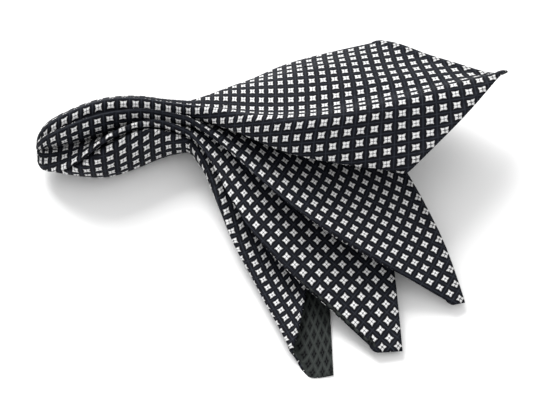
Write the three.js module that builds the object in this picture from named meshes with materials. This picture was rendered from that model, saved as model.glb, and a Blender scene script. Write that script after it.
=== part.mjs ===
// Folded pocket square: one square of woven cloth, picked up at its middle and gathered at a
// waist, so that the middle stands as a soft puff and the four corners fan out in a stack.
// Millimetres, +Z up, the cloth resting on z = 0.
import * as THREE from 'three';

// Cloth
const SIDE = 250; // flat side of the square
const CORNER = SIDE / Math.SQRT2; // from the middle of the cloth to a corner
const THICKNESS = 1.0;
const HEM_THICKNESS = 1.5; // the rolled edge
const HEM_WIDTH = 2.4;
const SETTLE = 0.5; // cloth this near the surface lies flat on it

// Distances from the middle of the cloth, along its diagonals
const WAIST = 63.5; // where it is gathered
const FAN_MIDDLE = 112; // halfway down the fan
const LEAST = 0.6; // innermost ring

// Mesh
const SPOKES = 120; // lines across the folds, with one along each diagonal
const RINGS = 23; // lines parallel to the hem
const LEVELS = 230; // sections that the surface is read from
const FINE = 24; // points between two fold lines of a section

// Centre line of the puff: from = distance from the middle of the cloth, then its place and radius
const PUFF_COLUMNS = ['from', 'x', 'y', 'z', 'radius'];
const PUFF_ROWS = [
  [0, 11.0, 85.5, 8.6, 0.3],
  [5, 11.6, 85.6, 8.7, 4.5],
  [12, 14.6, 85.8, 9.5, 8.0],
  [22, 23.0, 86.0, 11.3, 11.0],
  [33, 33.5, 88.0, 12.4, 12.2],
  [44, 44.5, 91.3, 11.6, 10.9],
  [54, 53.5, 93.3, 10.4, 9.0],
  [63.5, 61.5, 94.3, 9.6, 8.2],
];
const TURN_AT = [8, 24, 38, 52, 63.5]; // where the turn and reach of a fold are given

// One row for each fold line, in order round the cloth with its face outwards.
// turn: degrees round the puff, from straight up towards the front, at the TURN_AT distances.
// reach: share of the puff's radius there. middle, end: its place halfway down the fan and at
// the far end of the fan. crisp: how sharply the cloth turns there.
const FOLD_COLUMNS = ['name', 'turn', 'reach', 'middle', 'end', 'crisp'];
const FOLD_ROWS = [
  ['rear edge low', [302, 300, 300, 302, 312], [0.95, 1, 1, 1, 1], [99.5, 115, 19], [158.5, 142, 11], 0.3],
  ['rear edge', [312, 310, 309, 311, 320], [0.95, 1, 1, 1, 1], [99, 108.5, 24.5], [160, 129, 13.5], 0.4],
  ['rear slope', [322, 319, 318, 320, 330], [0.95, 1, 1, 1, 1], [99.5, 94.5, 31.5], [166, 112.5, 18.5], 0.3],
  ['crease', [332, 328, 326, 328, 338], [0.95, 1, 1, 0.95, 0.95], [99.5, 85, 31.5], [168, 109, 20.5], 0.45],
  ['crest', [340, 336, 334, 336, 346], [1, 1.08, 1.08, 1.08, 1.12],
    [99.5, 76.5, 37.5], [168.5, 105.5, 22.5], 0.3],
  ['front slope', [349, 345, 343, 345, 354], [0.95, 0.95, 0.95, 1, 1.05], [98, 73, 34], [171, 89, 19], 0.3],
  ['front edge', [358, 352, 350, 352, 361], [0.7, 0.7, 0.7, 0.75, 0.85], [97.5, 69, 29], [170, 69, 13], 0.3],
  ['front edge under', [356, 350, 348, 350, 360], [0.45, 0.45, 0.45, 0.5, 0.55],
    [99, 76.5, 23], [169.5, 76, 9], 0.3],
  ['first hollow high', [335, 340, 342, 345, 352], [0.2, 0.25, 0.25, 0.25, 0.3],
    [107, 108.5, 20], [167, 121, 12], 0.3],
  ['first hollow low', [368, 362, 358, 360, 370], [0.2, 0.2, 0.2, 0.25, 0.3],
    [107.5, 110, 16], [167, 119, 9], 0.3],
  ['second leaf back', [370, 362, 359, 360, 371], [0.5, 0.55, 0.55, 0.55, 0.55],
    [110, 82.7, 12.5], [163.5, 58.8, 2.6], 0.3],
  ['second leaf', [374, 364, 361, 361, 373], [0.98, 0.98, 0.98, 0.98, 0.95],
    [97.8, 54.3, 20], [149.9, 29.3, 2.5], 0.4],
  ['second ridge', [384, 372, 368, 368, 381], [1.1, 1.1, 1.1, 1.1, 1.1],
    [99, 56.7, 17.5], [150.6, 31.2, 3.2], 0.4],
  ['second ridge under', [398, 384, 378, 378, 392], [0.75, 0.7, 0.7, 0.75, 0.8],
    [99.9, 60.5, 12.8], [148.9, 34.2, 2.6], 0.3],
  ['second hollow high', [415, 402, 385, 383, 395], [0.2, 0.2, 0.2, 0.25, 0.3],
    [122.8, 99.9, 10.2], [163.5, 58.6, 4.6], 0.3],
  ['second hollow low', [440, 425, 400, 392, 405], [0.2, 0.2, 0.2, 0.25, 0.3],
    [123, 102.5, 7.2], [163.6, 58.4, 3.2], 0.3],
  ['third leaf', [460, 420, 386, 378, 402], [0.75, 0.75, 0.8, 0.9, 0.9],
    [84.6, 52.1, 12], [127.8, 8.8, 2], 0.4],
  ['third ridge', [472, 432, 396, 388, 412], [1.08, 1.08, 1.08, 1.08, 1.1],
    [87.1, 56.4, 9.8], [130, 12.8, 2.6], 0.4],
  ['third ridge under', [482, 440, 405, 398, 424], [0.85, 0.75, 0.75, 0.85, 0.85],
    [87.9, 60, 6.4], [127.1, 16.8, 2], 0.3],
  ['third hollow high', [488, 450, 415, 402, 425], [0.25, 0.2, 0.2, 0.25, 0.3],
    [110.5, 92, 5.4], [132.5, 53, 3.2], 0.3],
  ['third hollow low', [505, 465, 425, 408, 432], [0.25, 0.2, 0.2, 0.25, 0.3],
    [110.5, 91.5, 3.4], [132.5, 49.5, 2], 0.3],
  ['fourth leaf', [500, 444, 410, 402, 430], [0.75, 0.8, 0.85, 0.9, 0.9],
    [86, 52, 4.7], [111, 11.9, 1.3], 0.3],
  ['fourth ridge', [510, 453, 421, 412, 441], [0.8, 1, 1.05, 1.05, 1.08],
    [79, 47.8, 5.4], [102, -0.2, 3.6], 0.5],
  ['fourth ridge low', [532, 495, 482, 478, 482], [0.7, 1, 1.18, 1.12, 1.03],
    [80.5, 50, 0.5], [102.8, 2.2, 0.5], 0.3],
  ['bottom sheet', [550, 530, 520, 518, 520], [0.65, 1, 1.1, 1.06, 1.02],
    [85.9, 54.6, 0.5], [108.2, 2.6, 0.5], 0.45],
  ['bottom middle', [575, 565, 560, 560, 565], [0.7, 0.97, 1, 1, 1], [98.5, 104, 0.5], [127, 78.5, 0.5], 0.3],
  ['bottom rear', [595, 595, 592, 590, 598], [0.8, 1, 1, 1, 1], [105, 127.5, 0.5], [145, 148.5, 0.5], 0.3],
  ['rear turn', [610, 610, 610, 610, 612], [0.95, 0.95, 0.95, 0.95, 0.95],
    [105, 128.5, 4], [145, 149.5, 4], 0.3],
  ['rear hollow low', [630, 620, 620, 620, 622], [0.4, 0.4, 0.4, 0.4, 0.5],
    [107.5, 113, 9], [140, 125, 7], 0.3],
  ['rear hollow high', [660, 650, 650, 650, 645], [0.4, 0.4, 0.4, 0.4, 0.5],
    [107.5, 111, 12.5], [140, 125.5, 9], 0.3],
];

// Where each corner's diagonal runs, and between which folds the spare cloth beyond it is eased
const CORNER_COLUMNS = ['along', 'easeFrom', 'afterFrom', 'easeTo', 'afterTo'];
const CORNER_ROWS = [
  ['crease', 'front edge under', 0.3, 'second leaf back', -0.6],
  ['second leaf', 'second hollow high', -0.6, 'second hollow low', 0.5],
  ['third leaf', 'third hollow high', -0.6, 'third hollow low', 0.5],
  ['bottom sheet', 'bottom rear', 0, 'rear hollow high', 0.5],
];

const named = (columns, rows) =>
  rows.map((row) => Object.fromEntries(columns.map((column, i) => [column, row[i]])));
const PUFF = named(PUFF_COLUMNS, PUFF_ROWS);
const FOLDS = named(FOLD_COLUMNS, FOLD_ROWS);
const CORNERS = named(CORNER_COLUMNS, CORNER_ROWS);
const foldIndex = (name) => FOLDS.findIndex((fold) => fold.name === name);

const clamp = (value, low, high) => Math.min(Math.max(value, low), high);
const easeInOut = (share) => share * share * (3 - 2 * share);
const vector = (place) => new THREE.Vector3(...place);

// The cubic through two values with the slopes given, over a span
function cubic(from, fromSlope, to, toSlope, span, share) {
  const square = share * share;
  const cube = square * share;
  return (
    from * (2 * cube - 3 * square + 1) +
    fromSlope * span * (cube - 2 * square + share) +
    to * (3 * square - 2 * cube) +
    toSlope * span * (cube - square)
  );
}

// A smooth curve through values given at stations
function through(stations, values, at) {
  const last = stations.length - 1;
  const x = clamp(at, stations[0], stations[last]);
  let i = 0;
  while (i < last - 1 && x >= stations[i + 1]) i += 1;
  const rise = (k) => (values[k + 1] - values[k]) / (stations[k + 1] - stations[k]);
  const slope = (k) => {
    if (k === 0) return rise(0);
    if (k === last) return rise(last - 1);
    const before = stations[k] - stations[k - 1];
    const after = stations[k + 1] - stations[k];
    return (rise(k) * before + rise(k - 1) * after) / (before + after);
  };
  const span = stations[i + 1] - stations[i];
  return cubic(values[i], slope(i), values[i + 1], slope(i + 1), span, (x - stations[i]) / span);
}

// A fold line inside the puff, at a distance from the middle of the cloth
function puffPoint(fold, from) {
  const stations = PUFF.map((row) => row.from);
  const read = (column) => through(stations, PUFF.map((row) => row[column]), from);
  const turn = THREE.MathUtils.degToRad(through(TURN_AT, fold.turn, from));
  const reach = through(TURN_AT, fold.reach, from) * read('radius');
  return new THREE.Vector3(
    read('x'),
    read('y') - Math.sin(turn) * reach,
    read('z') + Math.cos(turn) * reach,
  );
}

// A fold line down the fan: it leaves the waist with a bend and runs through its two places
function fanPoint(fold, from) {
  const waist = puffPoint(fold, WAIST);
  const middle = vector(fold.middle);
  const end = vector(fold.end);
  const first = middle.clone().sub(waist).divideScalar(FAN_MIDDLE - WAIST);
  const second = end.clone().sub(middle).divideScalar(CORNER - FAN_MIDDLE);
  const leaving = first.clone().multiplyScalar(0.8).add(new THREE.Vector3(0.2, 0, 0));
  const share = (FAN_MIDDLE - WAIST) / (CORNER - WAIST);
  const passing = second.clone().multiplyScalar(share).addScaledVector(first, 1 - share);
  const near = from < FAN_MIDDLE;
  const span = near ? FAN_MIDDLE - WAIST : CORNER - FAN_MIDDLE;
  const along = clamp((from - (near ? WAIST : FAN_MIDDLE)) / span, 0, 1);
  const [a, b] = near ? [waist, middle] : [middle, end];
  const [slopeA, slopeB] = near ? [leaving, passing] : [passing, second];
  return new THREE.Vector3(
    cubic(a.x, slopeA.x, b.x, slopeB.x, span, along),
    cubic(a.y, slopeA.y, b.y, slopeB.y, span, along),
    cubic(a.z, slopeA.z, b.z, slopeB.z, span, along),
  );
}

// The closed section at a distance from the middle: a smooth curve round the fold lines
function sectionAt(from) {
  const places = FOLDS.map((fold) => (from < WAIST ? puffPoint(fold, from) : fanPoint(fold, from)));
  const count = places.length;
  const pulls = places.map((place, i) => {
    const mean = places[(i + count - 1) % count].clone().add(places[(i + 1) % count]).multiplyScalar(0.5);
    return place.clone().addScaledVector(place.clone().sub(mean), FOLDS[i].crisp);
  });
  const points = [];
  for (let i = 0; i < count; i += 1) {
    for (let k = 0; k < FINE; k += 1) {
      const f = k / FINE;
      const point = new THREE.Vector3()
        .addScaledVector(pulls[(i + count - 1) % count], (1 - f) ** 3 / 6)
        .addScaledVector(pulls[i], (3 * f ** 3 - 6 * f ** 2 + 4) / 6)
        .addScaledVector(pulls[(i + 1) % count], (-3 * f ** 3 + 3 * f ** 2 + 3 * f + 1) / 6)
        .addScaledVector(pulls[(i + 2) % count], f ** 3 / 6);
      point.z = Math.max(point.z, THICKNESS / 2);
      points.push(point);
    }
  }
  return points;
}

// Where each point of a section lies on the flat cloth, as a share of the way out to the hem.
// Cloth lies at its true length outwards from each corner's diagonal, and what is left over
// is eased into the hidden folds.
function hemShares(points, from) {
  const count = points.length;
  const lengths = [0];
  for (let i = 0; i < 2 * count; i += 1) {
    lengths.push(lengths[i] + points[i % count].distanceTo(points[(i + 1) % count]));
  }
  const at = (fold, after) => Math.round((foldIndex(fold) + after) * FINE);
  const shares = new Array(count);
  CORNERS.forEach((corner, quarter) => {
    const next = CORNERS[(quarter + 1) % CORNERS.length];
    const start = at(corner.along, 0);
    const upTo = (index) => (index < start ? index + count : index);
    const stop = upTo(at(next.along, 0));
    const easeFrom = lengths[upTo(at(corner.easeFrom, corner.afterFrom))];
    const easeTo = lengths[upTo(at(corner.easeTo, corner.afterTo))];
    const spare = 2 * from - (lengths[stop] - lengths[start]);
    for (let i = start; i < stop; i += 1) {
      const eased = easeInOut(clamp((lengths[i] - easeFrom) / (easeTo - easeFrom), 0, 1));
      const along = lengths[i] - lengths[start] + spare * eased;
      const aside = Math.abs(along - 2 * from * Math.round(along / (2 * from)));
      shares[i % count] = (from + aside) / CORNER;
    }
  });
  return shares;
}

// The cloth's middle layer, as the levels of its sections
function buildLevels() {
  const levels = [];
  for (let i = 0; i <= LEVELS; i += 1) {
    const from = LEAST + (CORNER - LEAST) * (i / LEVELS);
    const points = sectionAt(from);
    levels.push({ points, shares: hemShares(points, from) });
  }
  return levels;
}

// The point of a spoke at a share of the way out to the hem
function readSpoke(levels, fine, share) {
  const { shares } = levels[0];
  if (share <= shares[fine]) return levels[0].points[fine].clone();
  let i = 0;
  while (i < levels.length - 2 && levels[i + 1].shares[fine] < share) i += 1;
  const low = levels[i].shares[fine];
  const high = levels[i + 1].shares[fine];
  const along = clamp((share - low) / Math.max(high - low, 1e-9), 0, 1);
  return levels[i].points[fine].clone().lerp(levels[i + 1].points[fine], along);
}

// Shares of the way out for the rings: close together in the puff and at the hem
function ringShares() {
  const hem = 1 - HEM_WIDTH / (SIDE / 2);
  const shares = [];
  for (let i = 1; i <= RINGS - 2; i += 1) shares.push(0.016 + (hem - 0.016) * (i / (RINGS - 2)) ** 1.12);
  return [0.016, ...shares, 1];
}

// The grid of points on the middle layer, and how far each side stands off from it
function buildSheet() {
  const levels = buildLevels();
  const count = FOLDS.length * FINE;
  const rings = ringShares();
  const columns = Array.from({ length: SPOKES }, (_, k) => Math.round((k * count) / SPOKES) % count);
  const read = (share, fine) => readSpoke(levels, (fine + count) % count, share);
  return rings.map((share, ring) =>
    columns.map((fine) => {
      const place = read(share, fine);
      const round = read(share, fine + 3).sub(read(share, fine - 3));
      const out = read(Math.min(share + 0.006, 1), fine).sub(read(share - 0.006, fine));
      const normal = round.cross(out).normalize();
      const half = (ring === rings.length - 1 ? HEM_THICKNESS : THICKNESS) / 2;
      return { place, normal, half };
    }),
  );
}

// One side of the sheet, lying flat on the surface where it comes near it
function sidePoint({ place, normal, half }, side) {
  const point = place.clone().addScaledVector(normal, side * half);
  const below = side * normal.z <= 0;
  if (below && point.z < SETTLE) point.z = 0;
  if (!below) point.z = Math.max(point.z, THICKNESS);
  return point;
}

// Both sides of the sheet, closed over the middle of the cloth and along the hem
function clothGeometry() {
  const sheet = buildSheet();
  const rings = sheet.length;
  const positions = [];
  const push = (point) => positions.push(point.x, point.y, point.z) / 3 - 1;
  const vertex = (side, ring, spoke) => side * rings * SPOKES + ring * SPOKES + (spoke % SPOKES);
  for (const side of [1, -1]) {
    for (const ring of sheet) {
      for (const entry of ring) push(sidePoint(entry, side));
    }
  }
  const faces = [];
  const quad = (a, b, c, d) => faces.push(a, b, c, a, c, d);
  for (let ring = 0; ring < rings - 1; ring += 1) {
    for (let k = 0; k < SPOKES; k += 1) {
      quad(vertex(0, ring, k), vertex(0, ring, k + 1), vertex(0, ring + 1, k + 1), vertex(0, ring + 1, k));
      quad(vertex(1, ring, k + 1), vertex(1, ring, k), vertex(1, ring + 1, k), vertex(1, ring + 1, k + 1));
    }
  }
  for (let k = 0; k < SPOKES; k += 1) {
    const last = rings - 1;
    quad(vertex(0, last, k), vertex(0, last, k + 1), vertex(1, last, k + 1), vertex(1, last, k));
  }
  for (const side of [0, 1]) {
    const middle = new THREE.Vector3();
    for (let k = 0; k < SPOKES; k += 1) middle.add(sidePoint(sheet[0][k], side === 0 ? 1 : -1));
    const centre = push(middle.divideScalar(SPOKES));
    for (let k = 0; k < SPOKES; k += 1) {
      const [a, b] = [vertex(side, 0, k), vertex(side, 0, k + 1)];
      faces.push(...(side === 0 ? [centre, b, a] : [centre, a, b]));
    }
  }
  const geometry = new THREE.BufferGeometry();
  geometry.setAttribute('position', new THREE.Float32BufferAttribute(positions, 3));
  geometry.setIndex(faces);
  return geometry;
}

// The frame's origin is under the middle of the part's box
function standOnOrigin(geometry) {
  geometry.computeBoundingBox();
  const { min, max } = geometry.boundingBox;
  geometry.translate(-(min.x + max.x) / 2, -(min.y + max.y) / 2, -min.z);
  geometry.computeVertexNormals();
  return geometry;
}

function pocketSquare() {
  const fabric = new THREE.MeshStandardMaterial({
    name: 'woven silk',
    color: 0x20222f,
    roughness: 0.62,
    metalness: 0,
    side: THREE.DoubleSide,
  });
  const mesh = new THREE.Mesh(standOnOrigin(clothGeometry()), fabric);
  mesh.name = 'pocket_square';
  return mesh;
}

const part = new THREE.Group();
part.name = 'folded_pocket_square';
part.add(pocketSquare());

export default part;
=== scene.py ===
"""A folded pocket square of checked woven silk, lying on a pale surface.

The cloth is one square, picked up at its middle, gathered at a waist and laid down, so that
its middle stands as a soft puff and its four corners fan out in overlapping leaves.
"""

import logging
import math
from collections.abc import Sequence
from dataclasses import dataclass, field
from enum import Enum

import bpy
import numpy as np
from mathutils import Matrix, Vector

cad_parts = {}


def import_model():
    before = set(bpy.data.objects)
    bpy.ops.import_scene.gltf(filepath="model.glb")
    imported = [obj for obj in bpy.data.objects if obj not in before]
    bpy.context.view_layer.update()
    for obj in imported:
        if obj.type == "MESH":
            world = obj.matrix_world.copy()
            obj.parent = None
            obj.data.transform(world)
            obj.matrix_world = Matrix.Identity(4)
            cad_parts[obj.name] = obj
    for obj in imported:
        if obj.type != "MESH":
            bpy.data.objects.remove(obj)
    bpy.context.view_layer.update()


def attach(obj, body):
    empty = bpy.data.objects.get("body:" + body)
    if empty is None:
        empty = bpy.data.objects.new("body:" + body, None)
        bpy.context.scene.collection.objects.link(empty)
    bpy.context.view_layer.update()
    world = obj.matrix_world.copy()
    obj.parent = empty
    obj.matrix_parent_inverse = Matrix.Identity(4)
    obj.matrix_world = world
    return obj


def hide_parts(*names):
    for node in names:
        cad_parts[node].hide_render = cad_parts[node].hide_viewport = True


log = logging.getLogger("pocket_square")

Socket = bpy.types.NodeSocket
Mark = tuple[str, float]  # a fold line's name, and a share of the way to the next
Span = tuple[float, float]
Triple = tuple[float, float, float]

MM = 0.001
SIDE = 250.0  # flat side of the cloth, mm
CORNER = SIDE / math.sqrt(2.0)  # from the middle of the cloth to a corner
PITCH = 3.97  # from one pattern square to the next, along the cloth's diagonals
FRAME_SHIFT = np.array([-89.399, -65.302, 0.0])  # from the fold table's origin to the part's

WAIST = 63.5  # distance from the middle at which the cloth is gathered
FAN_MIDDLE = 112.0  # halfway down the fan
TURN_AT = (8.0, 24.0, 38.0, 52.0, 63.5)  # where a fold line's turn and reach are given, mm
LEVEL_COUNT = 260  # sections of the folded cloth, from its middle to a corner's tip
FANNING = 20.0  # from the waist, mm, over which spare cloth moves to the fan's own stretch
CLOSEST_COLUMNS = 0.006  # as a share of the way from one fold line to the next


# the puff's centre line: distance from the middle of the cloth, x, y, z and radius, all mm
PUFF_ROWS = (
    (0, 11.0, 85.5, 8.6, 0.3),
    (5, 11.6, 85.6, 8.7, 4.5),
    (12, 14.6, 85.8, 9.5, 8.0),
    (22, 23.0, 86.0, 11.3, 11.0),
    (33, 33.5, 88.0, 12.4, 12.2),
    (44, 44.5, 91.3, 11.6, 10.9),
    (54, 53.5, 93.3, 10.4, 9.0),
    (63.5, 61.5, 94.3, 9.6, 8.2),
)


@dataclass(frozen=True)
class FoldLine:
    """One line of the folds, from inside the puff to the far end of the fan.

    turn is in degrees round the puff, from straight up towards the front, and reach a share of
    the puff's radius, both at the TURN_AT distances. middle and end are places, mm, halfway
    down the fan and at its far end. crisp is how sharply the cloth turns there.
    """

    name: str
    turn: tuple[float, ...]
    reach: tuple[float, ...]
    middle: Triple
    end: Triple
    crisp: float = 0.3


# name, turn, reach, middle, end and, where it is not 0.3, crisp
FOLD_ROWS = (
    ("rear edge low", (302, 300, 300, 302, 312), (0.95, 1, 1, 1, 1),
     (99.5, 115, 19), (158.5, 142, 11)),
    ("rear edge", (312, 310, 309, 311, 320), (0.95, 1, 1, 1, 1),
     (99, 108.5, 24.5), (160, 126.5, 13), 0.4),
    ("rear slope", (322, 319, 318, 320, 330), (0.95, 1, 1, 1, 1),
     (99.5, 94.5, 31.5), (166, 110.5, 18)),
    ("crease", (332, 328, 326, 328, 338), (0.95, 1, 1, 0.95, 0.95),
     (99.5, 85, 31.5), (168, 109, 20.5), 0.45),
    ("crest", (340, 336, 334, 336, 346), (1, 1.08, 1.08, 1.08, 1.12),
     (99.5, 76.5, 37.5), (168.5, 105.5, 22.5)),
    ("front slope", (349, 345, 343, 345, 354), (0.95, 0.95, 0.95, 1, 1.05),
     (98, 73, 34), (171, 89, 19)),
    ("front edge", (358, 352, 350, 352, 361), (0.7, 0.7, 0.7, 0.75, 0.85),
     (97.5, 69, 29), (170, 69, 13)),
    ("front edge under", (356, 350, 348, 350, 360), (0.45, 0.45, 0.45, 0.5, 0.55),
     (99, 76.5, 23), (169.5, 76, 9)),
    ("first hollow high", (335, 340, 342, 345, 352), (0.2, 0.25, 0.25, 0.25, 0.3),
     (107, 108.5, 20), (167, 121, 12)),
    ("first hollow low", (368, 362, 358, 360, 370), (0.2, 0.2, 0.2, 0.25, 0.3),
     (107.5, 110, 16), (167, 119, 9)),
    ("second leaf back", (370, 362, 359, 360, 371), (0.5, 0.55, 0.55, 0.55, 0.55),
     (110, 82.7, 12.5), (163.5, 58.8, 2.6)),
    ("second leaf", (374, 364, 361, 361, 373), (0.98, 0.98, 0.98, 0.98, 0.95),
     (97.8, 54.3, 20), (149.9, 29.3, 2.5), 0.4),
    ("second ridge", (384, 372, 368, 368, 381), (1.1, 1.1, 1.1, 1.1, 1.1),
     (99, 56.7, 17.5), (150.6, 31.2, 1.5), 0.4),
    ("second ridge under", (398, 386, 379, 378, 392), (0.75, 0.6, 0.6, 0.72, 0.8),
     (99.9, 60.5, 12.8), (150.2, 37, 0.9)),
    ("second hollow high", (415, 402, 385, 383, 395), (0.2, 0.2, 0.2, 0.25, 0.3),
     (122.8, 99.9, 10.2), (163.5, 58.6, 4.6)),
    ("second hollow low", (440, 425, 400, 392, 405), (0.2, 0.1, 0.12, 0.25, 0.3),
     (123, 102.5, 7.2), (163.6, 58.4, 3.2)),
    ("third leaf", (460, 424, 390, 380, 402), (0.75, 0.62, 0.7, 0.88, 0.9),
     (84.6, 52.1, 12), (127.8, 8.8, 2), 0.4),
    ("third ridge", (472, 432, 396, 388, 412), (1.08, 1.08, 1.08, 1.08, 1.1),
     (87.1, 56.4, 9.8), (130, 12.8, 1.2), 0.4),
    ("third ridge under", (482, 440, 405, 398, 424), (0.85, 0.75, 0.75, 0.85, 0.85),
     (87.9, 60, 6.4), (129.5, 20, 0.6)),
    ("third hollow high", (488, 450, 415, 402, 425), (0.25, 0.2, 0.2, 0.25, 0.3),
     (110.5, 92, 5.4), (132.5, 53, 3.2)),
    ("third hollow low", (505, 465, 425, 408, 432), (0.25, 0.2, 0.2, 0.25, 0.3),
     (110.5, 91.5, 3.4), (132.5, 49.5, 2)),
    ("fourth leaf", (500, 444, 410, 402, 430), (0.75, 0.8, 0.85, 0.9, 0.9),
     (86, 52, 4.7), (111, 11.9, 1.3)),
    ("fourth ridge", (510, 453, 421, 412, 441), (0.8, 1, 1.05, 1.05, 1.08),
     (79, 47.8, 5.4), (102, -0.2, 3.6), 0.5),
    ("fourth ridge low", (532, 495, 482, 478, 482), (0.7, 1, 1.18, 1.12, 1.03),
     (80.5, 50, 0.5), (102.8, 2.2, 0.5)),
    ("bottom sheet", (550, 530, 520, 518, 520), (0.65, 1, 1.1, 1.06, 1.02),
     (85.9, 54.6, 0.5), (108.2, 2.6, 0.5), 0.45),
    ("bottom middle", (575, 565, 560, 560, 565), (0.7, 0.97, 1, 1, 1),
     (98.5, 104, 0.5), (127, 78.5, 0.5)),
    ("bottom rear", (595, 595, 592, 590, 598), (0.8, 1, 1, 1, 1),
     (105, 127.5, 0.5), (145, 148.5, 0.5)),
    ("rear turn", (610, 610, 610, 610, 612), (0.95, 0.95, 0.95, 0.95, 0.95),
     (105, 128.5, 4), (145, 149.5, 4)),
    ("rear hollow low", (630, 620, 620, 620, 622), (0.4, 0.4, 0.4, 0.4, 0.5),
     (107.5, 113, 9), (140, 125, 7)),
    ("rear hollow high", (660, 650, 650, 650, 645), (0.4, 0.4, 0.4, 0.4, 0.5),
     (107.5, 111, 12.5), (140, 125.5, 9)),
)
FOLDS = tuple(FoldLine(*row) for row in FOLD_ROWS)
FOLD_COUNT = len(FOLDS)


def position(mark: Mark) -> float:
    """Return the place of a mark in the order of the fold lines."""
    return next(i for i, fold in enumerate(FOLDS) if fold.name == mark[0]) + mark[1]


@dataclass(frozen=True)
class CornerRun:
    """A corner's diagonal: the fold line that it runs along, and where spare cloth is eased in.

    The two stretches of folds that take up the spare cloth are those inside the puff and those
    down the fan.
    """

    along: str
    puff_stretch: tuple[Mark, Mark]
    fan_stretch: tuple[Mark, Mark]


CORNERS = (
    CornerRun("crease",
              (("front edge under", 0.3), ("second leaf back", -0.6)),
              (("front edge under", 0.2), ("second leaf back", -0.4))),
    CornerRun("second leaf",
              (("second hollow high", -0.6), ("second hollow low", 0.5)),
              (("second ridge under", 0.2), ("second hollow low", 0.5))),
    CornerRun("third leaf",
              (("third hollow high", -0.6), ("third hollow low", 0.5)),
              (("third ridge under", 0.2), ("third hollow low", 0.5))),
    CornerRun("bottom sheet",
              (("bottom rear", 0.0), ("rear hollow high", 0.5)),
              (("bottom middle", 0.5), ("rear hollow high", 0.5))),
)


@dataclass(frozen=True)
class Gathers:
    """Small pleats in a hidden stretch of the cloth: heights are mm, at distances from the middle."""

    start: Mark
    stop: Mark
    count: int
    at: tuple[float, ...]
    heights: tuple[float, ...]

    def span(self) -> Span:
        """Return where the pleats start and stop in the order of the fold lines."""
        return position(self.start), position(self.stop)


DOWN_FAN = (44, 54, 63.5, 75, 88, 100, 112, 126)
WHOLE_WAY = (14, 24, 38, 52, 63.5, 75, 88, 100, 112, 130)
GATHERS = (
    Gathers(("front edge under", 0.15), ("first hollow high", 0.0), 10,
            DOWN_FAN, (0, 0.8, 2.2, 5.1, 6.6, 7.1, 6.8, 0)),
    Gathers(("second ridge under", 0.15), ("second hollow high", 0.0), 10,
            DOWN_FAN, (0, 0.5, 0.9, 1.6, 2.2, 2.6, 2.6, 0)),
    Gathers(("third ridge under", 0.2), ("third hollow high", 0.0), 8,
            DOWN_FAN, (0, 0.4, 0.7, 1.2, 1.5, 1.7, 1.6, 0)),
    Gathers(("bottom sheet", 0.4), ("bottom rear", 0.0), 16,
            WHOLE_WAY, (0, 0.5, 1.1, 2.4, 3.7, 4.1, 4.2, 4.1, 3.4, 0)),
)


def ease(share: np.ndarray) -> np.ndarray:
    """Return a share from 0 to 1 with soft ends."""
    return share * share * (3.0 - 2.0 * share)


def cubic(
    start: np.ndarray,
    leave: np.ndarray,
    stop: np.ndarray,
    arrive: np.ndarray,
    span: float | np.ndarray,
    share: np.ndarray,
) -> np.ndarray:
    """Return the cubic through two values with the slopes given.

    Args:
        start: Value at the start.
        leave: Slope at the start.
        stop: Value at the stop.
        arrive: Slope at the stop.
        span: Length between the two.
        share: Share of the way, from 0 to 1.

    Returns:
        The values at the shares.
    """
    square = share * share
    cube = square * share
    return (
        start * (2 * cube - 3 * square + 1)
        + leave * span * (cube - 2 * square + share)
        + stop * (3 * square - 2 * cube)
        + arrive * span * (cube - square)
    )


def through(stations: Sequence[float], values: Sequence[float], at: np.ndarray) -> np.ndarray:
    """Return a smooth curve through values given at stations.

    Args:
        stations: Where the values are given, rising.
        values: The values there.
        at: Where the curve is read.

    Returns:
        The curve's values.
    """
    stations, values = np.array(stations, dtype=float), np.array(values, dtype=float)
    last = len(stations) - 1
    x = np.clip(at, stations[0], stations[-1])
    i = np.clip(np.searchsorted(stations, x, side="right") - 1, 0, last - 1)
    gaps = np.diff(stations)
    rise = np.diff(values) / gaps
    slopes = np.empty(last + 1)
    slopes[0], slopes[-1] = rise[0], rise[-1]
    slopes[1:-1] = (rise[1:] * gaps[:-1] + rise[:-1] * gaps[1:]) / (gaps[:-1] + gaps[1:])
    share = (x - stations[i]) / gaps[i]
    return cubic(values[i], slopes[i], values[i + 1], slopes[i + 1], gaps[i], share)


def unit(vectors: np.ndarray) -> np.ndarray:
    """Return vectors at length 1."""
    return vectors / np.maximum(np.linalg.norm(vectors, axis=-1, keepdims=True), 1e-9)


def normals_of(places: np.ndarray) -> np.ndarray:
    """Return the normals of a surface laid in closed rings."""
    round_way = np.roll(places, -1, axis=1) - np.roll(places, 1, axis=1)
    return unit(np.cross(round_way, np.gradient(places, axis=0)))


def gaps_round(places: np.ndarray) -> np.ndarray:
    """Return the distance from each place to the next in its ring."""
    return np.linalg.norm(np.roll(places, -1, axis=1) - places, axis=2)


def add_object(name: str, data: bpy.types.ID) -> bpy.types.Object:
    """Add an object to the scene, at the origin."""
    made = bpy.data.objects.new(name, data)
    bpy.context.scene.collection.objects.link(made)
    return made


def corner_vertices(mesh: bpy.types.Mesh) -> np.ndarray:
    """Return the vertex of each face corner."""
    corners = np.empty(len(mesh.loops), dtype=int)
    mesh.loops.foreach_get("vertex_index", corners)
    return corners


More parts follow.
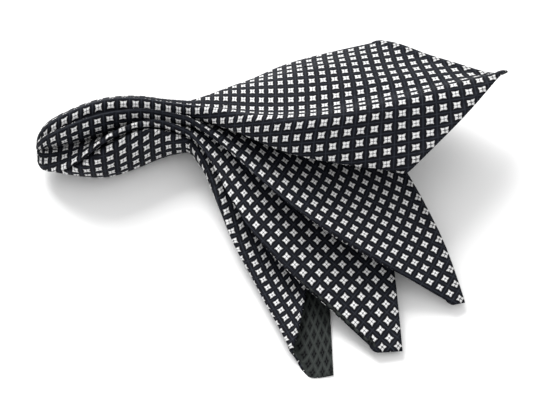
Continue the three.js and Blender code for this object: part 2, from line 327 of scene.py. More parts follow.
class FoldSurface:
    """The middle layer of the folded cloth, read by its distance from the middle and its fold."""

    def __init__(self, floor: float, columns_per_fold: int = 9, columns_per_gather: int = 6) -> None:
        """Lay the sections of the cloth.

        Args:
            floor: Lowest height of the middle layer, mm.
            columns_per_fold: Columns between two fold lines.
            columns_per_gather: Columns across one small pleat.
        """
        self.floor = floor
        self.columns = self._columns(columns_per_fold, columns_per_gather)
        self.levels = np.linspace(0.6, CORNER, LEVEL_COUNT)
        self.places = self._gathered(self._sections(self.columns))
        self.asides, self.quarters = self._flat_places()
        self.shares = (self.levels[:, None] + np.abs(self.asides)) / CORNER

    @staticmethod
    def _columns(per_fold: int, per_gather: int) -> np.ndarray:
        """Return the columns' places in the order of the fold lines, closer where it is gathered."""
        spans = [(*gather.span(), gather.count) for gather in GATHERS]
        columns: set[float] = set()
        for start, stop, count in spans:
            steps = count * per_gather
            columns |= {round(start + (stop - start) * k / steps, 6) for k in range(steps + 1)}
        for k in range(FOLD_COUNT * per_fold):
            place = round(k / per_fold, 6)
            if not any(start < place < stop for start, stop, _ in spans):
                columns.add(place)
        ordered = np.array(sorted(columns))
        keep = np.concatenate([[True], np.diff(ordered) > CLOSEST_COLUMNS])
        return ordered[keep]

    def _nearest(self, mark: Mark) -> int:
        """Return the column nearest to a mark."""
        return int(np.argmin(np.abs(self.columns - position(mark))))

    def _puff(self, fold: FoldLine, levels: np.ndarray) -> np.ndarray:
        """Return a fold line's places inside the puff."""
        stations, *curves = np.array(PUFF_ROWS, dtype=float).T
        x, y, z, radius = (through(stations, curve, levels) for curve in curves)
        turn = np.radians(through(TURN_AT, fold.turn, levels))
        reach = through(TURN_AT, fold.reach, levels) * radius
        return np.stack([x, y - np.sin(turn) * reach, z + np.cos(turn) * reach], axis=-1)

    def _fan(self, fold: FoldLine, levels: np.ndarray) -> np.ndarray:
        """Return a fold line's places down the fan."""
        waist = self._puff(fold, np.array([WAIST]))[0]
        middle, end = np.array(fold.middle, dtype=float), np.array(fold.end, dtype=float)
        first = (middle - waist) / (FAN_MIDDLE - WAIST)
        second = (end - middle) / (CORNER - FAN_MIDDLE)
        leaving = first * 0.8 + np.array([0.2, 0.0, 0.0])  # the cloth leaves the waist along x
        share = (FAN_MIDDLE - WAIST) / (CORNER - WAIST)
        passing = second * share + first * (1.0 - share)
        near = np.clip((levels - WAIST) / (FAN_MIDDLE - WAIST), 0.0, 1.0)[:, None]
        far = np.clip((levels - FAN_MIDDLE) / (CORNER - FAN_MIDDLE), 0.0, 1.0)[:, None]
        before = cubic(waist, leaving, middle, passing, FAN_MIDDLE - WAIST, near)
        after = cubic(middle, passing, end, second, CORNER - FAN_MIDDLE, far)
        return np.where((levels < FAN_MIDDLE)[:, None], before, after)

    def _sections(self, columns: np.ndarray) -> np.ndarray:
        """Return the sections at every level: a smooth closed curve round the fold lines."""
        inside = (self.levels < WAIST)[:, None]
        marks = np.stack(
            [np.where(inside, self._puff(f, self.levels), self._fan(f, self.levels)) for f in FOLDS], axis=1
        )
        crisp = np.array([f.crisp for f in FOLDS])[None, :, None]
        mean = (np.roll(marks, 1, axis=1) + np.roll(marks, -1, axis=1)) / 2
        pulls = marks + (marks - mean) * crisp
        index = np.floor(columns).astype(int) % FOLD_COUNT
        f = (columns - np.floor(columns))[None, :, None]
        weights = ((1 - f) ** 3, 3 * f**3 - 6 * f**2 + 4, -3 * f**3 + 3 * f**2 + 3 * f + 1, f**3)
        return sum(pulls[:, (index + k - 1) % FOLD_COUNT] * w / 6 for k, w in enumerate(weights))

    def _gathered(self, places: np.ndarray) -> np.ndarray:
        """Return the sections with the small pleats pushed up on the cloth's inner side."""
        places = places.copy()
        places[..., 2] = np.maximum(places[..., 2], self.floor)
        normal = normals_of(places)
        for gather in GATHERS:
            start, stop = gather.span()
            phase = (self.columns - start) / (stop - start)
            within = (phase >= 0.0) & (phase <= 1.0)
            wave = np.where(within, np.sin(math.pi * gather.count * phase) ** 2, 0.0)
            height = np.interp(self.levels, gather.at, gather.heights)
            places -= normal * (height[:, None] * wave[None, :])[..., None]
        return places

    def _flat_places(self) -> tuple[np.ndarray, np.ndarray]:
        """Return how far beside its corner's diagonal each place lies when flat, and the corner.

        Cloth lies at its true length outwards from each corner's diagonal. What is left over is
        eased into the hidden folds, and only into as much of them as the cloth reaches.
        """
        count = len(self.columns)
        twice_round = np.cumsum(np.tile(gaps_round(self.places), (1, 2)), axis=1)
        lengths = np.pad(twice_round, ((0, 0), (1, 0)))
        asides = np.zeros((LEVEL_COUNT, count))
        quarters = np.zeros((LEVEL_COUNT, count), dtype=int)
        for quarter, corner in enumerate(CORNERS):
            following = CORNERS[(quarter + 1) % len(CORNERS)]
            start = self._nearest((corner.along, 0.0))
            marks = ((following.along, 0.0), *corner.puff_stretch, *corner.fan_stretch)
            stop, puff_low, puff_high, fan_low, fan_high = (
                index + count if index < start else index for index in map(self._nearest, marks)
            )
            columns = np.arange(start, stop)
            for level, distance in enumerate(self.levels):
                run = lengths[level]
                whole = run[stop] - run[start]
                edge = CORNER - distance
                fanned = min(max((distance - WAIST) / FANNING, 0.0), 1.0)
                ease_from = (run[puff_low] * (1 - fanned) + run[fan_low] * fanned) - run[start]
                ease_to = (run[puff_high] * (1 - fanned) + run[fan_high] * fanned) - run[start]
                if whole >= 2 * edge:
                    ease_from = min(max(ease_from, edge), whole - edge)
                    ease_to = max(min(ease_to, whole - edge), ease_from)
                spare = 2 * distance - whole
                here = run[columns] - run[start]
                share = np.clip((here - ease_from) / max(ease_to - ease_from, 1e-3), 0.0, 1.0)
                along = here + spare * ease(share)
                turned = along > distance
                asides[level, columns % count] = np.where(turned, along - 2 * distance, along)
                quarters[level, columns % count] = np.where(turned, (quarter + 1) % 4, quarter)
        return asides, quarters

    def read(self, share: float) -> tuple[np.ndarray, np.ndarray]:
        """Return the ring of the cloth at a share of the way out to the hem.

        Args:
            share: 0 in the middle of the cloth, 1 along the hem.

        Returns:
            The places, mm, and the flat places on the cloth's diagonals, mm.
        """
        columns = np.arange(len(self.columns))
        reached = self.shares >= share
        high = np.clip(np.argmax(reached, axis=0), 1, LEVEL_COUNT - 1)
        high = np.where(reached.any(axis=0), high, LEVEL_COUNT - 1)
        low = high - 1
        before, after = self.shares[low, columns], self.shares[high, columns]
        along = np.clip((share - before) / np.maximum(after - before, 1e-9), 0.0, 1.0)
        blend = along[:, None]
        places = self.places[low, columns] * (1 - blend) + self.places[high, columns] * blend
        distance = self.levels[low] * (1 - along) + self.levels[high] * along
        quarter = self.quarters[high, columns]
        aside = np.sign(self.asides[high, columns]) * np.maximum(share * CORNER - distance, 0.0)
        return places, self.on_cloth(quarter, distance, aside)

    @staticmethod
    def on_cloth(quarter: np.ndarray, distance: np.ndarray, aside: np.ndarray) -> np.ndarray:
        """Return flat places on the cloth's diagonals from a corner, a distance out and aside."""
        ahead = np.array([[1, 0], [0, 1], [-1, 0], [0, -1]])[quarter]
        beside = np.array([[0, 1], [-1, 0], [0, -1], [1, 0]])[quarter]
        return ahead * distance[:, None] + beside * aside[:, None]


class ClothSide(Enum):
    """The two sides of the cloth: its suffix, its way along the normal, its room in the atlas."""

    FACE = ("face", 1.0, (0.005, 0.005, 0.70))
    REVERSE = ("reverse", -1.0, (0.715, 0.005, 0.28))

    def __init__(self, label: str, way: float, room: Triple) -> None:
        """Keep the side's values."""
        self.label = label
        self.way = way
        self.room = room


@dataclass
class ClothSheet:
    """The square of cloth as a thin closed sheet with its edge rolled; lengths are mm."""

    thickness: float = 0.4
    hem_width: float = 2.3
    hem_thickness: float = 1.25
    rings: int = 92
    hub_share: float = 0.012  # the first ring's share of the way out
    crowding: float = 1.05  # above 1, the rings lie closer towards the middle
    rippled: Span = (70.0, 100.0)  # distances from the middle over which the ripples set in
    fanned: float = 0.2  # height of the ripples that fan out from the waist
    sway: float = 0.22  # height of the slow sway
    surface: FoldSurface = field(init=False)

    def __post_init__(self) -> None:
        """Lay the surface."""
        self.surface = FoldSurface(floor=self.thickness / 2)
        self.shares, self.halves = self._ring_shares()
        self.places, self.flat, self.normals = self._rings()

    def _ring_shares(self) -> tuple[np.ndarray, np.ndarray]:
        """Return each ring's share of the way out, and half the thickness there."""
        half_side = SIDE / 2
        inner = 1 - self.hem_width / half_side
        k = np.arange(1, self.rings + 1) / self.rings
        plain = self.hub_share + (inner - self.hub_share) * k**self.crowding
        # back from the edge in mm, and the share of the hem's full thickness there
        roll = ((2.1, 0.62), (1.7, 0.9), (1.1, 1.0), (0.5, 0.9), (0.15, 0.6), (0.0, 0.25))
        edge = [1 - back / half_side for back, _ in roll]
        bulges = [bulge * self.hem_thickness / 2 for _, bulge in roll]
        halves = np.concatenate([np.full(self.rings + 1, self.thickness / 2), bulges])
        return np.concatenate([[self.hub_share], plain, edge]), halves

    def _rings(self) -> tuple[np.ndarray, np.ndarray, np.ndarray]:
        """Return the rings' places, flat places and face normals."""
        rings = [self.surface.read(share) for share in self.shares]
        places = np.stack([ring[0] for ring in rings])
        flat = np.stack([ring[1] for ring in rings])
        normals = normals_of(places)
        return places + normals * self._ripples(flat)[..., None], flat, normals

    def _ripples(self, flat: np.ndarray) -> np.ndarray:
        """Return the low ripples of soft cloth: some that fan out from the waist, and a slow sway."""
        out = np.abs(flat).max(axis=2)
        round_way = np.arctan2(flat[..., 1], flat[..., 0])
        fanned = np.sin(round_way * 31 + np.sin(out / 19.0) * 0.8) + 0.6 * np.sin(round_way * 53 + out / 31.0)
        sway = np.sin(flat[..., 0] / 9.0 + 1.7 * np.sin(flat[..., 1] / 13.0)) * np.sin(flat[..., 1] / 11.0)
        start, full = self.rippled
        risen = ease(np.clip((out - start) / (full - start), 0.0, 1.0))
        return risen * (self.fanned * fanned + self.sway * sway)

    def side_places(self, side: ClothSide) -> np.ndarray:
        """Return one side's places in the part's frame, mm, resting on the surface below."""
        points = self.places + self.normals * (side.way * self.halves)[:, None, None]
        down = (side.way * self.normals[..., 2]) <= 0
        points[..., 2] = np.maximum(points[..., 2], np.where(down, 0.0, self.thickness))
        return points + FRAME_SHIFT

    def _quads(self) -> np.ndarray:
        """Return the faces between the rings, by their four vertices."""
        ring_count, count = self.places.shape[:2]
        rings = np.arange(ring_count - 1)[:, None] * count
        a, b = rings + np.arange(count), rings + (np.arange(count) + 1) % count
        return np.stack([a, b, b + count, a + count], axis=-1).reshape(-1, 4)

    def build(self, materials: dict[ClothSide, bpy.types.Material]) -> bpy.types.Object:
        """Build the closed sheet.

        Args:
            materials: The finish of each side.

        Returns:
            The sheet's object, with a Cloth map in pattern squares and an OFBake map.
        """
        ring_count, count = self.places.shape[:2]
        vertices: list[np.ndarray] = []
        faces: list[np.ndarray] = []
        slots: list[int] = []
        block = ring_count * count
        here, beside = np.arange(count), (np.arange(count) + 1) % count
        for number, side in enumerate(ClothSide):
            points = self.side_places(side).reshape(-1, 3)
            vertices += [points, points[:count].mean(axis=0, keepdims=True)]
            base = number * (block + 1)
            quads = self._quads() + base
            fan = np.stack([np.full(count, block), beside, here], axis=-1) + base
            if side is ClothSide.REVERSE:
                quads, fan = quads[:, ::-1], fan[:, ::-1]
            faces += [quads, fan]
            slots += [number] * (len(quads) + len(fan))
        last = (ring_count - 1) * count
        across = block + 1
        edge = np.stack([last + here, last + beside, last + beside + across, last + here + across], axis=-1)
        faces.append(edge)
        slots += [0] * len(edge)
        every = [face.tolist() for group in faces for face in group]
        mesh = bpy.data.meshes.new("silk_square")
        mesh.from_pydata((np.concatenate(vertices) * MM).tolist(), [], every)
        for side in ClothSide:
            mesh.materials.append(materials[side])
        mesh.polygons.foreach_set("material_index", slots)
        mesh.polygons.foreach_set("use_smooth", [True] * len(mesh.polygons))
        flats = np.concatenate([self.flat.reshape(-1, 2), np.zeros((1, 2))])
        self._map(mesh, np.tile(flats, (2, 1)), np.array(slots))
        return add_object("silk_square", mesh)

    def build_guide(self) -> bpy.types.Object:
        """Build the face side alone, for the woven squares to be laid on.

        Returns:
            An object with a map of the whole flat cloth, the way out of it and how open it lies.
        """
        points = self.side_places(ClothSide.FACE)
        mesh = bpy.data.meshes.new("guide")
        mesh.from_pydata((points.reshape(-1, 3) * MM).tolist(), [], self._quads().tolist())
        flat = self.flat.reshape(-1, 2)[corner_vertices(mesh)]
        layer = mesh.uv_layers.new(name="Flat")
        layer.data.foreach_set("uv", (flat / (2 * CORNER) + 0.5).ravel())
        away = mesh.attributes.new("away", "FLOAT_VECTOR", "POINT")
        away.data.foreach_set("vector", self.normals.reshape(-1, 3).ravel())
        shown = mesh.attributes.new("shown", "FLOAT", "POINT")
        shown.data.foreach_set("value", self._open_share().ravel())
        return add_object("guide", mesh)

    def _open_share(self) -> np.ndarray:
        """Return how open the cloth lies at each place: 1 flat, 0 where it is gathered tight."""
        flat_gaps = np.maximum(gaps_round(self.flat), 1e-6)
        share = np.clip(gaps_round(self.places) / flat_gaps, 0.0, 1.0)
        for gather in GATHERS:
            start, stop = gather.span()
            within = (self.surface.columns > start) & (self.surface.columns < stop)
            share[:, within] = 0.0
        return share

    @staticmethod
    def _map(mesh: bpy.types.Mesh, flats: np.ndarray, slots: np.ndarray) -> None:
        """Add the Cloth map, in pattern squares, and the OFBake map, with the sides apart."""
        totals = np.empty(len(mesh.polygons), dtype=int)
        mesh.polygons.foreach_get("loop_total", totals)
        sides = np.repeat(slots, totals)
        flat = flats[corner_vertices(mesh)]
        cloth = mesh.uv_layers.new(name="Cloth")
        cloth.data.foreach_set("uv", (flat / PITCH).ravel())
        square = np.stack([flat[:, 0] + flat[:, 1], flat[:, 1] - flat[:, 0]], axis=-1) / math.sqrt(2.0)
        rooms = np.array([side.room for side in ClothSide])[sides]
        atlas = mesh.uv_layers.new(name="OFBake")
        atlas.data.foreach_set("uv", (rooms[:, :2] + (square / SIDE + 0.5) * rooms[:, 2:]).ravel())
        mesh.uv_layers.active = cloth


class NodeBuilder:
    """What material trees and geometry trees are built with alike."""

    def __init__(self, tree: bpy.types.NodeTree) -> None:
        """Keep the tree's nodes and links.

        Args:
            tree: The node tree to build in.
        """
        self.nodes = tree.nodes
        self.links = tree.links

    def feed(self, socket: Socket, value: object) -> None:
        """Set a socket to a value, or link it to another."""
        if isinstance(value, Socket):
            self.links.new(value, socket)
        else:
            socket.default_value = value

    def add(self, kind: str, settings: dict[str, str] | None = None, **sockets: object) -> bpy.types.Node:
        """Add a node.

        Args:
            kind: Blender's name for the node.
            settings: The node's own settings.
            **sockets: Values or sockets for its inputs, by name, with spaces as underscores.

        Returns:
            The node.
        """
        node = self.nodes.new(kind)
        for key, value in (settings or {}).items():
            setattr(node, key, value)
        for key, value in sockets.items():
            self.feed(node.inputs[key.replace("_", " ")], value)
        return node

    def math(self, operation: str, *values: object) -> Socket:
        """Add a math node.

        Args:
            operation: Blender's name for the operation.
            *values: Numbers or sockets.

        Returns:
            The result's socket.
        """
        node = self.add("ShaderNodeMath", {"operation": operation})
        for socket, value in zip(node.inputs, values):
            self.feed(socket, value)
        return node.outputs[0]

    def axes(self, vector: Socket) -> list[Socket]:
        """Return a vector's x, y and z."""
        return list(self.add("ShaderNodeSeparateXYZ", Vector=vector).outputs)

    def times(self, first: object, second: object) -> Socket:
        """Return the product of two values."""
        return self.math("MULTIPLY", first, second)

    def less(self, value: object) -> Socket:
        """Return 1 less a value."""
        return self.math("SUBTRACT", 1.0, value)


@dataclass(frozen=True)
class CheckPlace:
    """Sockets that tell where a point lies on the check.

    near and out are the smaller and the larger of its two distances from the middle of its
    square, in pattern squares.
    """

    cloth: Socket
    x: Socket
    y: Socket
    near: Socket
    out: Socket


class Shader(NodeBuilder):
    """A builder of a material's nodes."""

    def __init__(self, name: str) -> None:
        """Start a material with its shader and output.

        Args:
            name: The material's name.
        """
        self.material = bpy.data.materials.new(name)
        self.material.use_nodes = True
        super().__init__(self.material.node_tree)
        self.nodes.clear()
        output = self.nodes.new("ShaderNodeOutputMaterial")
        self.surface = self.nodes.new("ShaderNodeBsdfPrincipled")
        self.links.new(self.surface.outputs["BSDF"], output.inputs["Surface"])

    def check_place(self) -> CheckPlace:
        """Return where a point lies on the check, from the piece's Cloth map."""
        cloth = self.add("ShaderNodeUVMap", {"uv_map": "Cloth"}).outputs["UV"]
        x, y, _ = self.axes(cloth)
        wrapped = [self.math("FRACT", self.math("ADD", axis, 0.5)) for axis in (x, y)]
        offsets = [self.math("ABSOLUTE", self.math("SUBTRACT", share, 0.5)) for share in wrapped]
        near, out = self.math("MINIMUM", *offsets), self.math("MAXIMUM", *offsets)
        return CheckPlace(cloth, x, y, near, out)

    def cross(self, place: CheckPlace, arm: Span, heart: Span, depth: Span) -> Socket:
        """Return the fine dark cross that parts a square's four petals.

        Args:
            place: Where the point lies on the check.
            arm: Distances over which an arm fades out sideways.
            heart: Distances over which the darkest middle fades out.
            depth: How dark the arms are, and how much is added in the middle.

        Returns:
            How dark the cross is.
        """
        arms = self.less(self.step(place.near, *arm))
        middle = self.less(self.step(place.out, *heart))
        return self.times(arms, self.math("ADD", depth[0], self.times(middle, depth[1])))

    def give(self, name: str, value: object) -> None:
        """Set one of the surface's inputs to a value, or link it."""
        self.feed(self.surface.inputs[name], value)

    def step(self, value: object, low: float, high: float) -> Socket:
        """Return a soft step from 0 at low to 1 at high."""
        smooth = {"interpolation_type": "SMOOTHSTEP"}
        node = self.add("ShaderNodeMapRange", smooth, Value=value, From_Min=low, From_Max=high)
        return node.outputs["Result"]

    def mix(self, share: object, first: object, second: object) -> Socket:
        """Return a colour between two."""
        node = self.add("ShaderNodeMix", {"data_type": "RGBA"}, Factor=share)
        self.feed(node.inputs[6], first)
        self.feed(node.inputs[7], second)
        return node.outputs[2]

    def noise(self, vector: object, scale: float, detail: float) -> Socket:
        """Return a noise value from 0 to 1."""
        return self.add("ShaderNodeTexNoise", Vector=vector, Scale=scale, Detail=detail).outputs["Fac"]

    def bump(self, height: object, distance: float, strength: float) -> None:
        """Give the surface a bump of a height in metres."""
        node = self.add("ShaderNodeBump", Strength=strength, Distance=distance, Height=height)
        self.give("Normal", node.outputs["Normal"])


@dataclass(frozen=True)
class CheckWeave:
    """The woven check on one side of the cloth; its lengths are shares of a pattern square."""

    name: str
    ground: Triple
    frame: Triple
    line: Triple
    square: Triple
    square_half: float = 0.215
    square_blur: float = 0.025
    frame_half: float = 0.36
    frame_blur: float = 0.04
    line_half: float = 0.03
    ribs: float = 44.0  # of the twill, radians in a pattern square
    relief: float = 0.00012  # metres
    roughness: float = 0.62
    specular: float = 0.06

    def material(self) -> bpy.types.Material:
        """Build the finish.

        Returns:
            The material, which reads the piece's Cloth map.
        """
        shader = Shader(self.name)
        place = shader.check_place()
        out = place.out
        frame = (*self.frame, 1)
        slub = shader.noise(place.cloth, 2.3, 3.0)
        fray = shader.math("SUBTRACT", shader.noise(place.cloth, 9.0, 1.0), 0.5)
        fray = shader.times(fray, 0.09)
        star = shader.math("SUBTRACT", out, shader.times(place.near, 0.2))
        star = shader.math("ADD", star, fray)
        half, blur = self.square_half, self.square_blur
        in_square = shader.less(shader.step(star, half - blur, half + blur))
        half, blur = self.frame_half, self.frame_blur
        in_frame = shader.less(shader.step(out, half - blur, half + blur))
        line_edge = 0.5 - self.line_half
        on_line = shader.step(out, line_edge - 0.03, line_edge + 0.01)
        cross = shader.cross(place, (0.015, 0.06), (0.10, 0.22), (0.35, 0.6))
        ground = shader.mix(shader.times(slub, 0.55), (*self.ground, 1), frame)
        colour = shader.mix(in_frame, ground, frame)
        worn_line = shader.times(on_line, shader.step(slub, 0.25, 0.6))
        colour = shader.mix(worn_line, colour, (*self.line, 1))
        colour = shader.mix(in_square, colour, shader.mix(cross, (*self.square, 1), frame))
        shader.give("Base Color", colour)
        twill = shader.times(shader.math("ADD", place.x, place.y), self.ribs)
        twill = shader.times(shader.math("SINE", twill), 0.16)
        seams = shader.times(shader.times(cross, in_square), 0.8)
        relief = shader.math("SUBTRACT", shader.math("ADD", in_square, twill), seams)
        relief = shader.math("ADD", relief, shader.times(on_line, 0.35))
        shader.bump(relief, self.relief, 0.8)
        shader.give("Roughness", self.roughness)
        shader.give("Specular IOR Level", self.specular)
        return shader.material


@dataclass(frozen=True)
class FloatYarn:
    """The pale silk floats that make the small squares."""

    colour: Triple = (0.82, 0.82, 0.82)
    seam: Triple = (0.05, 0.05, 0.06)
    roughness: float = 0.5
    specular: float = 0.35

    def material(self) -> bpy.types.Material:
        """Build the finish.

        Returns:
            The material, which reads the piece's Cloth map.
        """
        shader = Shader("silk_float")
        place = shader.check_place()
        seam = shader.cross(place, (0.008, 0.05), (0.08, 0.2), (0.25, 0.75))
        edge = shader.times(shader.step(place.out, 0.185, 0.24), 0.7)
        worn = shader.times(shader.noise(place.cloth, 1.3, 2.0), 0.35)
        dark = shader.math("MAXIMUM", seam, edge)
        dark = shader.math("MAXIMUM", dark, shader.times(worn, 0.5))
        colour = shader.mix(dark, (*self.colour, 1), (*self.seam, 1))
        shader.give("Base Color", colour)
        strand = shader.math("SINE", shader.times(place.x, 90.0))
        shader.bump(strand, 0.00003, 0.6)
        shader.give("Roughness", self.roughness)
        shader.give("Specular IOR Level", self.specular)
        return shader.material


class Tree(NodeBuilder):
    """A builder of a geometry node tree."""

    def __init__(self, name: str) -> None:
        """Start a tree with its input and output.

        Args:
            name: The tree's name.
        """
        self.group = bpy.data.node_groups.new(name, "GeometryNodeTree")
        self.group.interface.new_socket("Geometry", in_out="INPUT", socket_type="NodeSocketGeometry")
        self.group.interface.new_socket("Geometry", in_out="OUTPUT", socket_type="NodeSocketGeometry")
        super().__init__(self.group)
        self.inputs = self.nodes.new("NodeGroupInput")
        self.output = self.nodes.new("NodeGroupOutput")
        self.identifiers: dict[str, str] = {}

    def take(self, name: str, kind: str) -> None:
        """Add a named input."""
        socket = self.group.interface.new_socket(name, in_out="INPUT", socket_type=f"NodeSocket{kind}")
        self.identifiers[name] = socket.identifier

    def given(self, name: str) -> Socket:
        """Return the socket of a named input."""
        return self.inputs.outputs[name]

    def vector_math(self, operation: str, first: object, second: object) -> Socket:
        """Add a vector math node and return its result; SCALE takes a number as its second value."""
        node = self.add("ShaderNodeVectorMath", {"operation": operation})
        self.feed(node.inputs[0], first)
        self.feed(node.inputs["Scale"] if operation == "SCALE" else node.inputs[1], second)
        return node.outputs[0]

    def named(self, name: str, kind: str) -> Socket:
        """Return a named attribute."""
        node = self.add("GeometryNodeInputNamedAttribute", {"data_type": kind}, Name=name)
        return node.outputs["Attribute"]

    def store(self, geometry: Socket, name: str, kind: str, domain: str, value: Socket) -> Socket:
        """Return the geometry with a named attribute stored on it."""
        kinds = {"data_type": kind, "domain": domain}
        node = self.add("GeometryNodeStoreNamedAttribute", kinds, Geometry=geometry, Name=name, Value=value)
        return node.outputs["Geometry"]

    def cut(self, geometry: Socket, domain: str, picked: Socket) -> Socket:
        """Return the geometry without the points or faces picked."""
        node = self.add("GeometryNodeDeleteGeometry", {"domain": domain}, Geometry=geometry, Selection=picked)
        return node.outputs["Geometry"]

    def random(self, low: float, high: float, seed: int) -> Socket:
        """Return a random number from low to high."""
        node = self.add("FunctionNodeRandomValue", {"data_type": "FLOAT"}, Seed=seed)
        self.feed(node.inputs[2], low)
        self.feed(node.inputs[3], high)
        return node.outputs[1]

    def sample(self, cloth: Socket, value: Socket, kind: str, at: Socket) -> bpy.types.Node:
        """Read a value of the cloth at a place of its Flat map."""
        return self.add(
            "GeometryNodeSampleUVSurface",
            {"data_type": kind},
            Mesh=cloth,
            Value=value,
            Source_UV_Map=self.named("Flat", "FLOAT_VECTOR"),
            Sample_UV=at,
        )

    def run(self, name: str, values: dict[str, object], result: Socket) -> bpy.types.Object:
        """Run the tree and keep its result as a plain mesh.

        Args:
            name: The new piece's name.
            values: The named inputs' values.
            result: The geometry that the tree ends with.

        Returns:
            The piece's object.
        """
        self.links.new(result, self.output.inputs["Geometry"])
        start = add_object(name, bpy.data.meshes.new(name))
        modifier = start.modifiers.new("nodes", "NODES")
        modifier.node_group = self.group
        for key, value in values.items():
            modifier[self.identifiers[key]] = value
        graph = bpy.context.evaluated_depsgraph_get()
        mesh = bpy.data.meshes.new_from_object(start.evaluated_get(graph), depsgraph=graph)
        start.modifiers.remove(modifier)
        start.data = mesh
        mesh.name = name
        mesh.polygons.foreach_set("use_smooth", [True] * len(mesh.polygons))
        return start


@dataclass
class WovenSquares:
    """The small raised squares of float yarns, laid on the cloth's face."""

    size: float = 0.44  # share of the pitch
    rise: float = 0.16  # height of a float, mm
    lift: float = 0.02  # above the cloth, mm
    hem_gap: float = 3.2  # from the edge to the last squares, mm
    open_share: float = 0.4  # where the cloth is gathered closer than this, no square is laid
    widest: float = 1.8  # a face's area against an even one's
    cells: int = 4  # faces along a square's side
    turn: float = 0.12  # either way, radians
    scales: Span = (0.84, 1.06)
    waist: float = 0.84  # how far a square's sides are drawn in at their middles

    def build(self, guide: bpy.types.Object, finish: bpy.types.Material) -> bpy.types.Object:
        """Lay a square at each place of the check where the cloth lies open.

        Args:
            guide: The cloth's face side.
            finish: The floats' finish.

        Returns:
            The piece's object.
        """
        tree = Tree("woven_squares")
        tree.take("Cloth", "Object")
        tree.take("Finish", "Material")
        for name in ("Pitch", "Reach", "Size", "Rise", "Lift"):
            tree.take(name, "Float")
        cloth = tree.add("GeometryNodeObjectInfo", Object=tree.given("Cloth")).outputs["Geometry"]
        place = tree.add("GeometryNodeInputPosition").outputs["Position"]
        middle = tree.add("ShaderNodeCombineXYZ", X=0.5, Y=0.5).outputs["Vector"]
        at = tree.vector_math("ADD", tree.vector_math("SCALE", place, 1.0 / (2 * CORNER * MM)), middle)
        side = tree.times(tree.given("Size"), tree.given("Pitch"))
        spin = tree.add("ShaderNodeCombineXYZ", Z=tree.random(-self.turn, self.turn, 11)).outputs["Vector"]
        placed = tree.add(
            "GeometryNodeInstanceOnPoints",
            Points=self._points(tree, cloth, place, at),
            Instance=self._pad(tree, place, side),
            Rotation=spin,
            Scale=tree.random(*self.scales, 23),
        )
        whole = tree.add("GeometryNodeRealizeInstances", Geometry=placed.outputs["Instances"])
        laid = self._laid(tree, whole.outputs["Geometry"], cloth, place, at)
        area = tree.add("GeometryNodeInputMeshFaceArea").outputs["Area"]
        largest = tree.times(tree.times(side, side), self.widest / self.cells**2)
        even = tree.cut(laid, "FACE", tree.math("GREATER_THAN", area, largest))
        done = tree.add("GeometryNodeSetMaterial", Geometry=even, Material=tree.given("Finish"))
        values = {
            "Cloth": guide,
            "Finish": finish,
            "Pitch": PITCH * MM,
            "Reach": (CORNER - self.hem_gap * math.sqrt(2.0)) * MM,
            "Size": self.size,
            "Rise": self.rise * MM,
            "Lift": self.lift * MM,
        }
        return tree.run("woven_squares", values, done.outputs["Geometry"])

    def _points(self, tree: Tree, cloth: Socket, place: Socket, at: Socket) -> Socket:
        """Return the check's places on the flat cloth, where it lies open and inside its hem."""
        rows = 2 * int(CORNER / PITCH) + 1
        width = tree.times(tree.given("Pitch"), float(rows - 1))
        grid = tree.add("GeometryNodeMeshGrid", Size_X=width, Size_Y=width, Vertices_X=rows, Vertices_Y=rows)
        away = [tree.math("ABSOLUTE", axis) for axis in tree.axes(place)[:2]]
        beyond = tree.math("GREATER_THAN", tree.math("ADD", *away), tree.given("Reach"))
        shown = tree.sample(cloth, tree.named("shown", "FLOAT"), "FLOAT", at)
        hidden = tree.math("LESS_THAN", shown.outputs["Value"], self.open_share)
        missing = tree.less(shown.outputs["Is Valid"])
        dropped = tree.math("MAXIMUM", tree.math("MAXIMUM", beyond, hidden), missing)
        return tree.cut(grid.outputs["Mesh"], "POINT", dropped)

    def _pad(self, tree: Tree, place: Socket, side: Socket) -> Socket:
        """Return one square: four low bumps, with the sides drawn in a little."""
        count = self.cells + 1
        grid = tree.add("GeometryNodeMeshGrid", Size_X=side, Size_Y=side, Vertices_X=count, Vertices_Y=count)
        x, y, _ = tree.axes(place)
        shares = [tree.math("DIVIDE", axis, side) for axis in (x, y)]
        turns = [tree.times(share, 2 * math.pi) for share in shares]
        waves = [tree.math("POWER", tree.math("SINE", turn), 2.0) for turn in turns]
        bump = tree.times(tree.times(*waves), tree.given("Rise"))
        spread = [tree.times(tree.math("ABSOLUTE", share), 2 * (1 - self.waist)) for share in shares]
        pulls = [tree.math("ADD", self.waist, share) for share in spread]
        drawn = {"X": tree.times(x, pulls[1]), "Y": tree.times(y, pulls[0]), "Z": bump}
        pillow = tree.add("ShaderNodeCombineXYZ", **drawn).outputs["Vector"]
        pad = tree.add("GeometryNodeSetPosition", Geometry=grid.outputs["Mesh"], Position=pillow)
        return pad.outputs["Geometry"]

    @staticmethod
    def _laid(tree: Tree, squares: Socket, cloth: Socket, place: Socket, at: Socket) -> Socket:
        """Return the flat squares laid on the folded cloth, with their Cloth map."""
        pattern = tree.vector_math("SCALE", place, tree.math("DIVIDE", 1.0, tree.given("Pitch")))
        mapped = tree.store(squares, "Cloth", "FLOAT2", "CORNER", pattern)
        found = tree.sample(cloth, place, "FLOAT_VECTOR", at)
        lost = tree.less(found.outputs["Is Valid"])
        held = tree.store(mapped, "lost", "FLOAT", "POINT", lost)
        away = tree.sample(cloth, tree.named("away", "FLOAT_VECTOR"), "FLOAT_VECTOR", at).outputs["Value"]
        height = tree.math("ADD", tree.axes(place)[2], tree.given("Lift"))
        laid = tree.vector_math("ADD", found.outputs["Value"], tree.vector_math("SCALE", away, height))
        moved = tree.add("GeometryNodeSetPosition", Geometry=held, Position=laid)
        gone = tree.math("GREATER_THAN", tree.named("lost", "FLOAT"), 0.5)
        return tree.cut(moved.outputs["Geometry"], "POINT", gone)


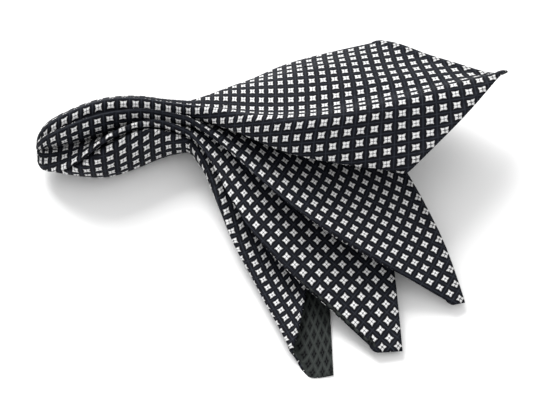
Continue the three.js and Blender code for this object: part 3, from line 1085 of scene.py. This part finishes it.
@dataclass
class Studio:
    """The surface that the cloth lies on, the lights and the camera."""

    look_at: Triple = (0.601, 1.298, 6.1)  # mm
    elevation: float = 55.0  # degrees
    distance: float = 620.0  # mm
    lens: float = 124.0  # mm

    def build(self) -> None:
        """Set everything round the cloth."""
        bpy.context.scene.view_settings.view_transform = "Standard"
        self._camera()
        self._floor()
        self._lights()

    def _camera(self) -> None:
        """Set the camera at the photograph's viewing angle."""
        data = bpy.data.cameras.new("camera")
        data.lens = self.lens
        data.sensor_width = 36.0
        camera = add_object("camera", data)
        target = Vector(self.look_at) * MM
        tilt = math.radians(self.elevation)
        camera.location = target + Vector((0.0, -math.cos(tilt), math.sin(tilt))) * self.distance * MM
        camera.rotation_euler = (target - camera.location).to_track_quat("-Z", "Y").to_euler()
        bpy.context.scene.camera = camera

    @staticmethod
    def _floor() -> None:
        """Lay the pale surface."""
        mesh = bpy.data.meshes.new("floor")
        half = 3.0
        corners = [(-half, -half, 0), (half, -half, 0), (half, half, 0), (-half, half, 0)]
        mesh.from_pydata(corners, [], [(0, 1, 2, 3)])
        shader = Shader("pale_surface")
        shader.give("Base Color", (0.93, 0.93, 0.93, 1))
        shader.give("Roughness", 0.9)
        mesh.materials.append(shader.material)
        add_object("floor", mesh)

    @staticmethod
    def _lights() -> None:
        """Hang the soft lights."""
        world = bpy.data.worlds.new("studio")
        world.use_nodes = True
        background = world.node_tree.nodes["Background"]
        background.inputs["Color"].default_value = (1, 1, 1, 1)
        background.inputs["Strength"].default_value = 0.9
        bpy.context.scene.world = world
        # name, place in metres, size in metres, power in watts
        lamps = (
            ("key", (-0.4, 0.95, 0.85), 0.7, 20.0),
            ("fill", (0.7, -0.5, 0.9), 0.8, 1.0),
        )
        for name, place, size, power in lamps:
            data = bpy.data.lights.new(name, "AREA")
            data.size = size
            data.energy = power
            lamp = add_object(name, data)
            lamp.location = place
            lamp.rotation_euler = (-Vector(place)).to_track_quat("-Z", "Y").to_euler()


def silk_finishes() -> dict[ClothSide, bpy.types.Material]:
    """Return the near-black check of the face and the paler ground of the reverse."""
    face = CheckWeave(
        "silk_face",
        ground=(0.008, 0.009, 0.013), frame=(0.003, 0.003, 0.005),
        line=(0.022, 0.025, 0.033), square=(0.6, 0.6, 0.6),
    )
    reverse = CheckWeave(
        "silk_reverse",
        ground=(0.03, 0.035, 0.033), frame=(0.02, 0.023, 0.022),
        line=(0.045, 0.05, 0.047), square=(0.002, 0.002, 0.003),
    )
    return {ClothSide.FACE: face.material(), ClothSide.REVERSE: reverse.material()}


def main() -> None:
    """Build the scene piece by piece."""
    logging.basicConfig(level=logging.INFO, format="%(name)s: %(message)s")
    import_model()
    Studio().build()
    cloth = ClothSheet()
    sheet = cloth.build(silk_finishes())
    area = sum(face.area for face in sheet.data.polygons) / 2
    share = area / (SIDE * MM) ** 2
    log.info("silk square: %d faces, %.4f m2 a side, share %.3f", len(sheet.data.polygons), area, share)
    guide = cloth.build_guide()
    squares = WovenSquares().build(guide, FloatYarn().material())
    log.info("woven squares: %d faces", len(squares.data.polygons))
    bpy.data.objects.remove(guide)
    for piece in (sheet, squares):
        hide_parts("pocket_square")
        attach(piece, "root")


if __name__ == "__main__":
    main()
